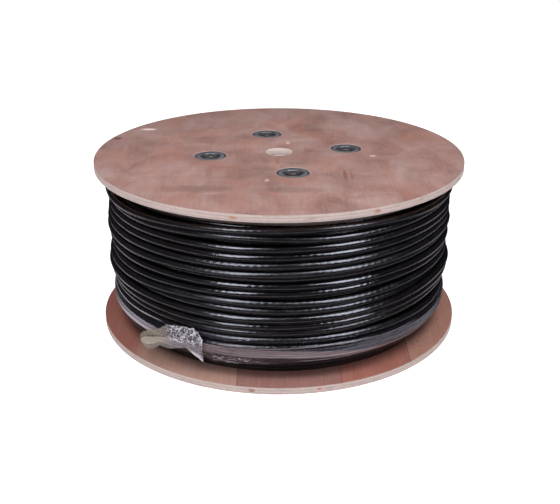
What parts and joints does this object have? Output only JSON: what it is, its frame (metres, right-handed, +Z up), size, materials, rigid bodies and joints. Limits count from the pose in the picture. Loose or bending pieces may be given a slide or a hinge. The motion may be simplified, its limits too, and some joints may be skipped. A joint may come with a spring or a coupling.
{
  "type": "network cable drum",
  "caption": "Round plywood drum full of black network cable, standing on one flange, with sunk tie bolts and a band of clear film round the lowest turns.",
  "frame": {"origin": "centre of the lower flange's outer face, on which the drum stands", "axes": "+Z up along the drum's axis; -Y is the side where the tuft of film shows"},
  "size_m": [0.4, 0.4, 0.186],
  "materials": {
    "plywood": "raw sanded plywood, matt",
    "cardboard": "wound paper board, matt",
    "cable_jacket": "black polyethylene jacket, glossy",
    "clear_film": "clear stretch film, glossy",
    "plated_steel": "zinc plated steel, satin",
    "washer_steel": "dark pressed steel, satin"
  },
  "bodies": {
    "root": {"lower_flange": "plywood", "upper_flange": "plywood", "lower_hub_disc": "plywood", "upper_hub_disc": "plywood", "barrel": "cardboard", "cable_coil": "cable_jacket", "film_band": "clear_film", "film_tail": "clear_film", "tie_bolt_1": "plated_steel", "tie_bolt_2": "plated_steel", "tie_bolt_3": "plated_steel", "tie_bolt_4": "plated_steel", "tie_nut_1": "plated_steel", "tie_nut_2": "plated_steel", "tie_nut_3": "plated_steel", "tie_nut_4": "plated_steel", "upper_cup_washer_1": "washer_steel", "upper_cup_washer_2": "washer_steel", "upper_cup_washer_3": "washer_steel", "upper_cup_washer_4": "washer_steel", "lower_cup_washer_1": "washer_steel", "lower_cup_washer_2": "washer_steel", "lower_cup_washer_3": "washer_steel", "lower_cup_washer_4": "washer_steel"}
  },
  "joints": []
}
